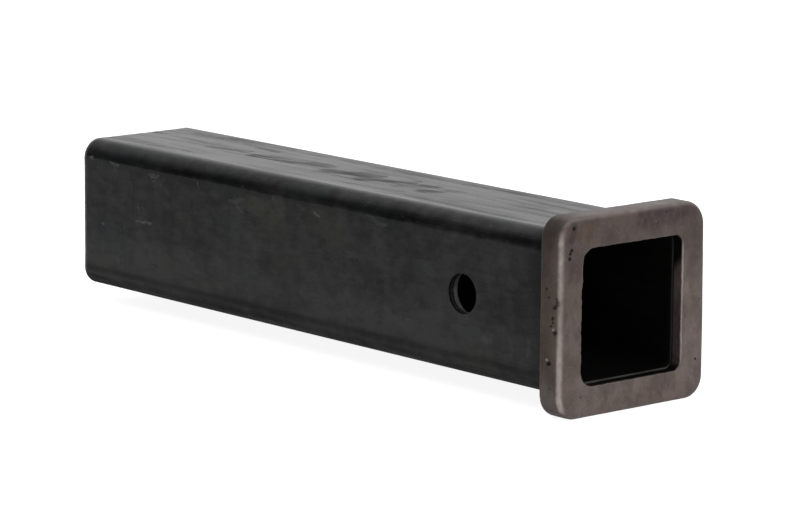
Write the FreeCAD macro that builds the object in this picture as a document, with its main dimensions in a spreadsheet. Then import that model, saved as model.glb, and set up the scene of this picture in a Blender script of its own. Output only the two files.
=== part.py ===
"""A receiver tube for a towing hitch: a square steel tube with a forged collar round its mouth.

The origin is the centre of the mouth, in the collar's front face. +X points out of the mouth,
along the way a hitch bar is drawn out, +Y runs along the pin hole and +Z is up.
Lengths are in millimetres.
"""

import FreeCAD, Part
import math
import os
import Sketcher

# Driving dimensions, in millimetres
SIZES = {
    "overall_length": 304.8,
    "tube_width": 63.5,
    "tube_wall": 5.56,
    "tube_inner_corner": 2.74,
    "collar_wall": 7.1,
    "collar_corner": 9.8,
    "collar_depth": 11.5,
    "collar_offset": 0.9,
    "mouth_step": 0.41,
    "mouth_corner": 4.8,
    "lip_depth": 5.0,
    "socket_gap": 0.15,
    "front_rounding": 2.6,
    "back_rounding": 0.8,
    "mouth_rounding": 0.75,
    "shoulder_rounding": 0.6,
    "pin_hole_width": 16.0,
    "pin_hole_setback": 61.9,
    "pin_hole_rise": 1.0,
    "edge_break": 0.4,
}

# Widths that follow from the driving dimensions: the tube's bore, the collar's mouth, which stands
# back from the bore by a small step, its socket, which takes the tube's end, and its outside
BORE_WIDTH = "(Sizes.tube_width - 2 * Sizes.tube_wall)"
MOUTH_WIDTH = f"({BORE_WIDTH} + 2 * Sizes.mouth_step)"
SOCKET_WIDTH = "(Sizes.tube_width + 2 * Sizes.socket_gap)"
COLLAR_WIDTH = f"({SOCKET_WIDTH} + 2 * Sizes.collar_wall)"

# Corner radii of the rolled tube, and of the socket round it
TUBE_CORNER = "(Sizes.tube_inner_corner + Sizes.tube_wall)"
SOCKET_CORNER = f"({TUBE_CORNER} + Sizes.socket_gap)"

# Point numbers of a sketch's geometry, and the sketch's own origin
START, END, CENTRE = 1, 2, 3
ORIGIN = -1

# Two lengths nearer than this are the same
NEAR = 1e-4


def make_sheet(doc):
    """Put the driving dimensions in a sheet, one row each: the name, and the value under its alias."""
    sheet = doc.addObject("Spreadsheet::Sheet", "Sizes")
    for row, (name, value) in enumerate(SIZES.items(), start=1):
        sheet.set(f"A{row}", name)
        sheet.set(f"B{row}", str(value))
        sheet.setAlias(f"B{row}", name)
    doc.recompute()
    return sheet


def make_body(doc, name):
    """Make an empty body whose label is the name of its node."""
    body = doc.addObject("PartDesign::Body", name.title().replace("_", ""))
    body.Label = name
    body.Placement = FreeCAD.Placement()
    return body


def make_sketch(body, name, plane_role, offset=None, aside=None):
    """Attach a sketch to one of the body's origin planes, moved along its normal and sideways."""
    sketch = body.newObject("Sketcher::SketchObject", name)
    plane = next(feature for feature in body.Origin.OriginFeatures if feature.Role == plane_role)
    sketch.AttachmentSupport = [(plane, "")]
    sketch.MapMode = "FlatFace"
    if offset:
        sketch.setExpression("AttachmentOffset.Base.z", offset)
    if aside:
        sketch.setExpression("AttachmentOffset.Base.x", aside)
    return sketch


def bind(sketch, constraint, name, expression):
    """Add a constraint that holds a size, and tie it to the sheet."""
    index = sketch.addConstraint(constraint)
    sketch.renameConstraint(index, name)
    sketch.setExpression(f"Constraints.{name}", expression)


def draw_square(sketch, name, width, corner):
    """Draw a square with round corners, centred on the origin, its two sizes tied to expressions."""
    drawn_width, drawn_corner = sketch.evalExpression(width), sketch.evalExpression(corner)
    reach = drawn_width / 2 - drawn_corner
    arcs = []
    for quarter, (side_y, side_z) in enumerate(((1, 1), (-1, 1), (-1, -1), (1, -1))):
        centre = FreeCAD.Vector(side_y * reach, side_z * reach, 0)
        circle = Part.Circle(centre, FreeCAD.Vector(0, 0, 1), drawn_corner)
        start = quarter * math.pi / 2
        arcs.append(sketch.addGeometry(Part.ArcOfCircle(circle, start, start + math.pi / 2)))

    lines = []
    for arc, following in zip(arcs, arcs[1:] + arcs[:1]):
        side = Part.LineSegment(sketch.getPoint(arc, END), sketch.getPoint(following, START))
        line = sketch.addGeometry(side)
        sketch.addConstraint(Sketcher.Constraint("Tangent", arc, END, line, START))
        sketch.addConstraint(Sketcher.Constraint("Tangent", line, END, following, START))
        lines.append(line)

    top, left, bottom, right = lines
    for line in (top, bottom):
        sketch.addConstraint(Sketcher.Constraint("Horizontal", line))
    for line in (left, right):
        sketch.addConstraint(Sketcher.Constraint("Vertical", line))
    for arc in arcs[1:]:
        sketch.addConstraint(Sketcher.Constraint("Equal", arcs[0], arc))
    sketch.addConstraint(Sketcher.Constraint("Equal", top, left))
    sketch.addConstraint(Sketcher.Constraint("Symmetric", arcs[0], CENTRE, arcs[2], CENTRE, ORIGIN, START))
    across = Sketcher.Constraint("DistanceX", left, START, right, START, drawn_width)
    bind(sketch, across, f"{name}_width", width)
    bind(sketch, Sketcher.Constraint("Radius", arcs[0], drawn_corner), f"{name}_corner", corner)


def width_of(sketch, name):
    """Read the width that a drawn square has come to."""
    return sketch.getDatum(f"{name}_width").Value


def outline_edges(shape, place, width, centre=0.0):
    """Name the edges of a square outline of this width, centred on Y = centre, in the plane X = place."""

    def is_on_outline(vertex):
        reach = max(abs(vertex.Y - centre), abs(vertex.Z))
        return abs(vertex.X - place) < NEAR and abs(reach - width / 2) < NEAR

    return [
        f"Edge{number}"
        for number, edge in enumerate(shape.Edges, start=1)
        if all(is_on_outline(vertex) for vertex in edge.Vertexes)
    ]


def rim_edges(shape, radius, reach):
    """Name the circular edges of this radius that lie in the planes Y = -reach and Y = reach."""
    return [
        f"Edge{number}"
        for number, edge in enumerate(shape.Edges, start=1)
        if isinstance(edge.Curve, Part.Circle)
        and abs(edge.Curve.Radius - radius) < NEAR
        and abs(abs(edge.Curve.Center.y) - reach) < NEAR
    ]


def dress(body, kind, name, edges, size_property, expression):
    """Round or bevel some edges of the body's last feature."""
    last = body.Tip
    feature = body.newObject(kind, name)
    feature.Base = (last, edges)
    feature.setExpression(size_property, expression)
    body.Document.recompute()


def round_edges(body, name, edges, radius):
    """Round some edges of the body's last feature."""
    dress(body, "PartDesign::Fillet", name, edges, "Radius", radius)


def bevel_edges(body, name, edges, size):
    """Bevel some edges of the body's last feature."""
    dress(body, "PartDesign::Chamfer", name, edges, "Size", size)


def cut(body, name, sketch, side="One side"):
    """Cut a sketch through the whole body, and make sure that something was cut."""
    volume = body.Shape.Volume
    pocket = body.newObject("PartDesign::Pocket", name)
    pocket.Profile = sketch
    pocket.Type = "ThroughAll"
    pocket.SideType = side
    body.Document.recompute()
    if not body.Shape.Volume < volume:
        raise ValueError(f"{name} cuts nothing")


def make_tube(doc, sheet):
    """The square tube: a rolled section, sawn to length and cross-drilled for the hitch pin."""
    body = make_body(doc, "receiver_tube")

    section = make_sketch(body, "TubeSection", "YZ_Plane", "-Sizes.lip_depth")
    draw_square(section, "outside", "Sizes.tube_width", TUBE_CORNER)
    draw_square(section, "bore", BORE_WIDTH, "Sizes.tube_inner_corner")
    length = body.newObject("PartDesign::Pad", "TubeLength")
    length.Profile = section
    length.Reversed = True
    length.setExpression("Length", "Sizes.overall_length - Sizes.lip_depth")
    doc.recompute()

    outside, bore = width_of(section, "outside"), width_of(section, "bore")
    front_end, back_end = -sheet.get("lip_depth"), -sheet.get("overall_length")
    sawn = outline_edges(body.Shape, front_end, bore)
    sawn += outline_edges(body.Shape, back_end, bore)
    sawn += outline_edges(body.Shape, back_end, outside)
    bevel_edges(body, "SawnEdges", sawn, "Sizes.edge_break")

    circle = make_sketch(body, "PinCircle", "XZ_Plane")
    setback, rise = sheet.get("pin_hole_setback"), sheet.get("pin_hole_rise")
    centre = FreeCAD.Vector(-setback, rise, 0)
    radius = sheet.get("pin_hole_width") / 2
    hole = circle.addGeometry(Part.Circle(centre, FreeCAD.Vector(0, 0, 1), radius))
    back_from_mouth = Sketcher.Constraint("DistanceX", hole, CENTRE, ORIGIN, START, setback)
    above_centre = Sketcher.Constraint("DistanceY", ORIGIN, START, hole, CENTRE, rise)
    bind(circle, back_from_mouth, "setback", "Sizes.pin_hole_setback")
    bind(circle, above_centre, "rise", "Sizes.pin_hole_rise")
    bind(circle, Sketcher.Constraint("Diameter", hole, 2 * radius), "width", "Sizes.pin_hole_width")
    cut(body, "PinHole", circle, side="Symmetric")

    rims = rim_edges(body.Shape, radius, outside / 2)
    bevel_edges(body, "PinHoleRims", rims, "Sizes.edge_break")
    return body


def make_collar(doc, sheet):
    """The forged collar: a lip round the mouth, and behind it a socket that takes the tube's end.

    Its outside sits a little off the tube's axis, as forgings do.
    """
    body = make_body(doc, "collar")

    outline = make_sketch(body, "CollarOutline", "YZ_Plane", aside="Sizes.collar_offset")
    draw_square(outline, "outside", COLLAR_WIDTH, "Sizes.collar_corner")
    blank = body.newObject("PartDesign::Pad", "CollarBlank")
    blank.Profile = outline
    blank.Reversed = True
    blank.setExpression("Length", "Sizes.collar_depth")
    doc.recompute()

    mouth = make_sketch(body, "MouthOutline", "YZ_Plane")
    draw_square(mouth, "mouth", MOUTH_WIDTH, "Sizes.mouth_corner")
    cut(body, "Mouth", mouth)

    socket = make_sketch(body, "SocketOutline", "YZ_Plane", "-Sizes.lip_depth")
    draw_square(socket, "socket", SOCKET_WIDTH, SOCKET_CORNER)
    cut(body, "Socket", socket)

    outside, opening = width_of(outline, "outside"), width_of(mouth, "mouth")
    shoulder, back_face = -sheet.get("lip_depth"), -sheet.get("collar_depth")
    offset = sheet.get("collar_offset")
    front_edges = outline_edges(body.Shape, 0, outside, offset)
    round_edges(body, "FrontRounding", front_edges, "Sizes.front_rounding")
    back_edges = outline_edges(body.Shape, back_face, outside, offset)
    round_edges(body, "BackRounding", back_edges, "Sizes.back_rounding")
    mouth_edges = outline_edges(body.Shape, 0, opening)
    round_edges(body, "MouthRounding", mouth_edges, "Sizes.mouth_rounding")
    shoulder_edges = outline_edges(body.Shape, shoulder, opening)
    round_edges(body, "ShoulderRounding", shoulder_edges, "Sizes.shoulder_rounding")
    return body


def check(doc, bodies):
    """Stop if any object failed to build, or if a body isn't one sound solid."""
    for item in doc.Objects:
        if "Invalid" in item.State or "Error" in item.State:
            raise ValueError(f"{item.Label} failed: {item.State}")
    for body in bodies:
        shape = body.Shape
        if shape.isNull() or not shape.isValid() or len(shape.Solids) != 1:
            raise ValueError(f"{body.Label} isn't one sound solid")


def main():
    """Build the two pieces and write each to its own file."""
    doc = FreeCAD.newDocument("ReceiverTube")
    sheet = make_sheet(doc)
    bodies = [make_tube(doc, sheet), make_collar(doc, sheet)]
    doc.recompute()
    check(doc, bodies)

    os.makedirs("parts", exist_ok=True)
    for body in bodies:
        body.Shape.exportStep(os.path.join("parts", f"{body.Label}.step"))
        box = body.Shape.optimalBoundingBox()
        print(f"{body.Label}: volume {body.Shape.Volume:.1f}, X {box.XMin:.2f} to {box.XMax:.2f},"
              f" Y {box.YMin:.2f} to {box.YMax:.2f}, Z {box.ZMin:.2f} to {box.ZMax:.2f}")


main()
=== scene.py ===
"""The finished look of a hitch receiver tube: mill scale on the tube, forged scale on its collar.

The frame's origin is the centre of the mouth. +X points out of the mouth, +Y along the pin hole
and +Z up. Scene lengths are in metres, and the sizes written here are in millimetres.
"""

import logging
import math
from dataclasses import dataclass, field
from enum import Enum

import bpy
import numpy as np
from mathutils import Matrix, Vector, noise


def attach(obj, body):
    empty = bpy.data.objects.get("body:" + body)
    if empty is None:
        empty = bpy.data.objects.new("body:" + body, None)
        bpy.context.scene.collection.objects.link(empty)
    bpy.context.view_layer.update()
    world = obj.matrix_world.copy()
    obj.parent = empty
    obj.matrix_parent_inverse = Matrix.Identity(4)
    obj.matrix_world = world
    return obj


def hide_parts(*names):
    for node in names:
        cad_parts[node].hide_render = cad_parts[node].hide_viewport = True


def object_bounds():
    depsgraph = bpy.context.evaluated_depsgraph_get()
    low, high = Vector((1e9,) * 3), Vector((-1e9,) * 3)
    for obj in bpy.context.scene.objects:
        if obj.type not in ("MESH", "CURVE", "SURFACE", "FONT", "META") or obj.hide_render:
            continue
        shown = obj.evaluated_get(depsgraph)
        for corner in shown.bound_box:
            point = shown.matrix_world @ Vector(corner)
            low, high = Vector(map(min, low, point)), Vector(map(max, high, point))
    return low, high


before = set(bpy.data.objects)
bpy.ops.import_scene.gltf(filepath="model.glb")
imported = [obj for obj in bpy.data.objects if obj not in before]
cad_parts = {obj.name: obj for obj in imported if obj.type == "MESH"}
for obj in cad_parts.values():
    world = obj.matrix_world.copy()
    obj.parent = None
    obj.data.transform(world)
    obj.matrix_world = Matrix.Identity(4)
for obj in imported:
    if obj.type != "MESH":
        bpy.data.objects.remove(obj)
CAD_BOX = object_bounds()

MM = 0.001
BODY = "root"
PHOTO_WIDTH, PHOTO_HEIGHT = 794, 527

log = logging.getLogger("receiver_tube")

Socket = bpy.types.NodeSocket
Colour = tuple[float, float, float]


class Slot(Enum):
    """The record's material slots."""

    TUBE = "tube_steel"
    COLLAR = "collar_steel"


class TubeSurface(Enum):
    """The tube's surfaces, by the order of their finishes."""

    OUTSIDE = 0
    BORE = 1
    SAWN = 2
    HOLE = 3


# ---- outlines and meshes


@dataclass(frozen=True)
class Stations:
    """Places round a square outline with round corners, shared by every outline of a piece.

    A place is `anchor` times the flat's half width plus `outward` times the corner's radius, so one
    set of places serves any width and any corner.
    """

    anchor: np.ndarray
    outward: np.ndarray
    nearness: np.ndarray
    per_flat: int
    per_corner: int

    @classmethod
    def spread(cls, per_flat: int, per_corner: int, crowding: float = 0.0) -> "Stations":
        """Spread places over four flats and four corners.

        Args:
            per_flat: Steps along each flat.
            per_corner: Steps round each corner.
            crowding: How far the steps of a flat crowd towards its ends, from 0 to 1.

        Returns:
            The places, anticlockwise from the low end of the +Y flat.
        """
        anchors, outwards, nearness = [], [], []
        for quarter in range(4):
            turn = quarter * math.pi / 2
            normal = np.array([math.cos(turn), math.sin(turn)])
            tangent = np.array([-normal[1], normal[0]])
            for step in range(per_flat):
                even = 2 * step / per_flat - 1
                share = even * (1 - crowding) + math.sin(even * math.pi / 2) * crowding
                anchors.append(normal + tangent * share)
                outwards.append(normal)
                corners = np.zeros(4)
                corners[quarter], corners[quarter - 1] = (1 + share) / 2, (1 - share) / 2
                nearness.append(corners)
            for step in range(per_corner):
                angle = turn + math.pi / 2 * step / per_corner
                anchors.append(normal + tangent)
                outwards.append(np.array([math.cos(angle), math.sin(angle)]))
                nearness.append(np.eye(4)[quarter])
        return cls(np.array(anchors), np.array(outwards), np.array(nearness), per_flat, per_corner)

    @property
    def count(self) -> int:
        """How many places there are."""
        return len(self.anchor)

    def ring(self, half: float, corner: float, along: float, extra: np.ndarray | None = None) -> np.ndarray:
        """Lay one outline across the tube.

        Args:
            half: Half the outline's width, in millimetres.
            corner: Its corner radius, in millimetres.
            along: Its place on X, in millimetres.
            extra: What each of the four corners adds to the radius, in millimetres.

        Returns:
            One point for each place, in millimetres.
        """
        radius = np.full(self.count, float(corner))
        if extra is not None:
            radius += self.nearness @ extra
        flat = self.anchor * (half - radius)[:, None] + self.outward * radius[:, None]
        return np.column_stack([np.full(self.count, along), flat])


@dataclass(frozen=True)
class Outline:
    """One outline of a section, in millimetres, with what its skin is like there.

    `skin` is 1 on the outer skin and 0 on fitted surfaces, `mouth` is 1 on the mouth's own outline, and
    `wear_and_highlight` is how bright an edge is painted, for its bared steel and a painted highlight.
    """

    half: float
    corner: float
    along: float
    skin: float = 1.0
    mouth: float = 0.0
    wear_and_highlight: float = 0.0


class Pen:
    """Draws a section outline by outline, along straight runs and quarter turns."""

    def __init__(self, start: Outline) -> None:
        """Put the pen down.

        Args:
            start: The first outline.
        """
        self.outlines = [start]

    def run(self, end: Outline, steps: int, crowding: float = 0.0) -> int:
        """Draw a straight run.

        Args:
            end: The outline where it ends.
            steps: How many outlines it takes.
            crowding: How far they crowd towards the run's ends, from 0 to 1.

        Returns:
            The number of the last outline.
        """
        start = self.outlines[-1]
        for step in range(1, steps + 1):
            even = step / steps
            share = even * (1 - crowding) + (1 - math.cos(even * math.pi)) / 2 * crowding
            mixed = [
                getattr(start, name) + (getattr(end, name) - getattr(start, name)) * share
                for name in ("half", "corner", "along", "skin", "mouth", "wear_and_highlight")
            ]
            self.outlines.append(Outline(*mixed))
        return len(self.outlines) - 1

    def turn(self, inset: float, shift: float, steps: int, across_first: bool, wear_and_highlight: float, peak: float) -> None:
        """Draw a quarter turn round an edge.

        Args:
            inset: What the turn adds to the half width, in millimetres.
            shift: What it adds to the place on X, in millimetres.
            steps: How many outlines it takes.
            across_first: True where the turn sets off across the tube, false along X.
            wear_and_highlight: How bright the edge is painted at its brightest, for bared steel and a painted
                highlight.
            peak: Where in the turn it is brightest, from 0 to 1.
        """
        start = self.outlines[-1]
        spread = 0.27
        for step in range(1, steps + 1):
            share = step / steps
            across, along = math.sin(share * math.pi / 2), 1 - math.cos(share * math.pi / 2)
            if not across_first:
                across, along = along, across
            bright = wear_and_highlight * math.exp(-(((share - peak) / spread) ** 2))
            half, corner = start.half + inset * across, start.corner + inset * across
            place = start.along + shift * along
            self.outlines.append(Outline(half, corner, place, start.skin, start.mouth, bright))


def loft_faces(outlines: int, places: int, skip: set[tuple[int, int]] | None = None) -> list[tuple[int, ...]]:
    """Join a closed run of closed outlines with quads.

    Args:
        outlines: How many outlines there are.
        places: How many places each of them has.
        skip: Quads to leave out, by outline and place.

    Returns:
        The corners' numbers round each quad.
    """
    faces = []
    for outline in range(outlines):
        here, ahead = outline * places, (outline + 1) % outlines * places
        for place in range(places):
            if skip and (outline, place) in skip:
                continue
            beside = (place + 1) % places
            faces.append((here + place, here + beside, ahead + beside, ahead + place))
    return faces


def smoothstep(values: np.ndarray, low: float, high: float) -> np.ndarray:
    """Ease values from 0 at `low` to 1 at `high`."""
    share = np.clip((values - low) / (high - low), 0, 1)
    return share * share * (3 - 2 * share)


def unevenness(points: np.ndarray, size: tuple[float, float, float], seed: float, octaves: int = 2) -> np.ndarray:
    """Sample smooth noise.

    Args:
        points: Where to sample it, in millimetres.
        size: The size of its lumps on each axis, in millimetres.
        seed: Another seed gives another pattern.
        octaves: How many finer layers it has.

    Returns:
        About -1 to 1 for each point.
    """
    shift = Vector((seed * 17.3, seed * -9.1, seed * 5.7))
    scaled = points / np.array(size)
    return np.array([noise.fractal(Vector(point) + shift, 1.0, 2.0, octaves) for point in scaled.tolist()])


def make_piece(name: str, points: np.ndarray, faces: list[tuple[int, ...]]) -> bpy.types.Object:
    """Make a smooth-shaded object from points in millimetres, its faces turned outward.

    Args:
        name: The piece's name.
        points: Its corners, in millimetres.
        faces: The corners' numbers round each face.

    Returns:
        The object, linked to the scene.
    """
    mesh = bpy.data.meshes.new(name)
    mesh.from_pydata((points * MM).tolist(), [], faces)
    mesh.validate()
    mesh.update()
    centres = np.empty(len(mesh.polygons) * 3)
    normals, areas = np.empty_like(centres), np.empty(len(mesh.polygons))
    mesh.polygons.foreach_get("center", centres)
    mesh.polygons.foreach_get("normal", normals)
    mesh.polygons.foreach_get("area", areas)
    if ((centres * normals).reshape(-1, 3).sum(axis=1) * areas).sum() < 0:
        mesh.flip_normals()
    mesh.polygons.foreach_set("use_smooth", [True] * len(mesh.polygons))
    piece = bpy.data.objects.new(name, mesh)
    bpy.context.scene.collection.objects.link(piece)
    return piece


def place_points(piece: bpy.types.Object, points: np.ndarray) -> None:
    """Move a piece's corners to points in millimetres."""
    piece.data.vertices.foreach_set("co", (points * MM).astype(np.float32).ravel())
    piece.data.update()


def outward_normals(piece: bpy.types.Object) -> np.ndarray:
    """Read the outward direction at each of a piece's corners."""
    normals = np.empty(len(piece.data.vertices) * 3)
    piece.data.vertices.foreach_get("normal", normals)
    return normals.reshape(-1, 3)


def paint(piece: bpy.types.Object, name: str, values: np.ndarray) -> None:
    """Store one number for each of a piece's corners, for its finish to read."""
    layer = piece.data.attributes.new(name, "FLOAT", "POINT")
    layer.data.foreach_set("value", values.astype(np.float32))


# ---- finishes


@dataclass(frozen=True)
class Mark:
    """A straight scratch, rub or chip on a flat face, from end to end, in millimetres."""

    start: tuple[float, float, float]
    end: tuple[float, float, float]
    half_width: float
    strength: float = 1.0


class Recipe:
    """Lays out the nodes of one finish, with lengths in millimetres."""

    def __init__(self, name: str) -> None:
        """Start a finish.

        Args:
            name: The finish's name.
        """
        self.material = bpy.data.materials.new(name)
        self.material.use_nodes = True
        self.tree = self.material.node_tree
        self.shader = self.tree.nodes["Principled BSDF"]
        place = self.node("ShaderNodeVectorMath", operation="SCALE")
        self.feed(place.inputs[0], self.node("ShaderNodeTexCoord").outputs["Object"])
        place.inputs["Scale"].default_value = 1 / MM
        self.place = place.outputs[0]

    def node(self, kind: str, **settings: object) -> bpy.types.Node:
        """Add a node.

        Args:
            kind: Its type.
            settings: Its properties.

        Returns:
            The node.
        """
        node = self.tree.nodes.new(kind)
        for name, value in settings.items():
            setattr(node, name, value)
        return node

    def feed(self, socket: Socket, value: Socket | float | Colour) -> None:
        """Link a socket to another, or set its value."""
        if isinstance(value, bpy.types.NodeSocket):
            self.tree.links.new(value, socket)
        elif isinstance(value, tuple):
            socket.default_value = (*value, 1.0)
        else:
            socket.default_value = value

    def grain(
        self, size: float | tuple[float, float, float], seed: float, detail: float, turned: float
    ) -> bpy.types.Node:
        """Add a noise node whose lumps have a size.

        Args:
            size: Their size in millimetres, on each axis or on all.
            seed: Another seed gives another pattern.
            detail: How many finer layers it has.
            turned: How far the lumps are turned about Z, in degrees.

        Returns:
            The node.
        """
        sizes = size if isinstance(size, tuple) else (size, size, size)
        place = self.place
        if turned:
            spun = self.node("ShaderNodeVectorRotate", rotation_type="Z_AXIS")
            self.feed(spun.inputs["Vector"], place)
            spun.inputs["Angle"].default_value = math.radians(-turned)
            place = spun.outputs[0]
        scaled = self.node("ShaderNodeVectorMath", operation="MULTIPLY")
        self.feed(scaled.inputs[0], place)
        scaled.inputs[1].default_value = tuple(1 / length for length in sizes)
        grain = self.node("ShaderNodeTexNoise", noise_dimensions="4D")
        self.feed(grain.inputs["Vector"], scaled.outputs[0])
        grain.inputs["Scale"].default_value = 1.0
        grain.inputs["W"].default_value = seed
        grain.inputs["Detail"].default_value = detail
        return grain

    def noise(
        self, size: float | tuple[float, float, float], seed: float, detail: float = 3.0, turned: float = 0.0
    ) -> Socket:
        """Add a noise whose lumps have a size.

        Args:
            size: Their size in millimetres, on each axis or on all.
            seed: Another seed gives another pattern.
            detail: How many finer layers it has.
            turned: How far the lumps are turned about Z, in degrees.

        Returns:
            Its strength, about 0.3 to 0.7.
        """
        return self.grain(size, seed, detail, turned).outputs[0]

    def wavering(self, size: float | tuple[float, float, float], seed: float, reach: float) -> Socket:
        """Shift the places to and fro, which makes what is drawn on them ragged.

        Args:
            size: The size of the ragged lumps in millimetres.
            seed: Another seed gives another pattern.
            reach: How far a place may be shifted, in millimetres.

        Returns:
            The shifted places.
        """
        shift = self.node("ShaderNodeVectorMath", operation="MULTIPLY_ADD")
        self.feed(shift.inputs[0], self.grain(size, seed, 3.0, 0.0).outputs[1])
        shift.inputs[1].default_value = (2 * reach,) * 3
        shift.inputs[2].default_value = (-reach,) * 3
        moved = self.node("ShaderNodeVectorMath", operation="ADD")
        self.feed(moved.inputs[0], self.place)
        self.feed(moved.inputs[1], shift.outputs[0])
        return moved.outputs[0]

    def ease(self, value: Socket, low: float, high: float, start: float = 0.0, end: float = 1.0) -> Socket:
        """Ease a value from one range to another.

        Args:
            value: What to ease.
            low: Where it starts to change.
            high: Where it stops.
            start: The result up to `low`.
            end: The result from `high` on.

        Returns:
            The result.
        """
        curve = self.node("ShaderNodeMapRange", interpolation_type="SMOOTHSTEP")
        self.feed(curve.inputs["Value"], value)
        for name, number in (("From Min", low), ("From Max", high), ("To Min", start), ("To Max", end)):
            curve.inputs[name].default_value = number
        return curve.outputs[0]

    def sum(self, operation: str, first: Socket | float, second: Socket | float = 0.0) -> Socket:
        """Work out one sum of two values."""
        work = self.node("ShaderNodeMath", operation=operation)
        self.feed(work.inputs[0], first)
        self.feed(work.inputs[1], second)
        return work.outputs[0]

    def blend(self, amount: Socket, first: Socket | Colour, second: Socket | Colour) -> Socket:
        """Blend two colours by an amount."""
        mix = self.node("ShaderNodeMix", data_type="RGBA")
        self.feed(mix.inputs["Factor"], amount)
        self.feed(mix.inputs[6], first)
        self.feed(mix.inputs[7], second)
        return mix.outputs[2]

    def painted(self, name: str) -> Socket:
        """Read a number stored on the mesh."""
        return self.node("ShaderNodeAttribute", attribute_name=name).outputs["Fac"]

    def marks(self, marks: tuple[Mark, ...], place: Socket | None = None) -> Socket:
        """Draw marks as lines with soft edges.

        Args:
            marks: The marks.
            place: Where to draw them, the object's own places by default.

        Returns:
            How strongly the surface is marked, from 0 to 1.
        """
        total: Socket | float = 0.0
        for mark in marks:
            start, end = Vector(mark.start), Vector(mark.end)
            run = end - start
            from_start = self.node("ShaderNodeVectorMath", operation="SUBTRACT")
            self.feed(from_start.inputs[0], place or self.place)
            from_start.inputs[1].default_value = start
            share = self.node("ShaderNodeVectorMath", operation="DOT_PRODUCT")
            self.feed(share.inputs[0], from_start.outputs[0])
            share.inputs[1].default_value = run / run.length_squared
            held = self.node("ShaderNodeClamp")
            self.feed(held.inputs["Value"], share.outputs["Value"])
            nearest = self.node("ShaderNodeVectorMath", operation="SCALE")
            nearest.inputs[0].default_value = run
            self.feed(nearest.inputs["Scale"], held.outputs[0])
            gap = self.node("ShaderNodeVectorMath", operation="DISTANCE")
            self.feed(gap.inputs[0], from_start.outputs[0])
            self.feed(gap.inputs[1], nearest.outputs[0])
            drawn = self.ease(gap.outputs["Value"], mark.half_width * 0.3, mark.half_width, mark.strength, 0.0)
            total = self.sum("MAXIMUM", drawn, total)
        return total

    def relief(self, height: Socket, depth: float) -> None:
        """Raise the surface by a height from 0 to 1 that stands for a depth in millimetres."""
        bump = self.node("ShaderNodeBump")
        bump.inputs["Strength"].default_value = 1.0
        bump.inputs["Distance"].default_value = depth * MM
        self.feed(bump.inputs["Height"], height)
        self.feed(self.shader.inputs["Normal"], bump.outputs["Normal"])


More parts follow.
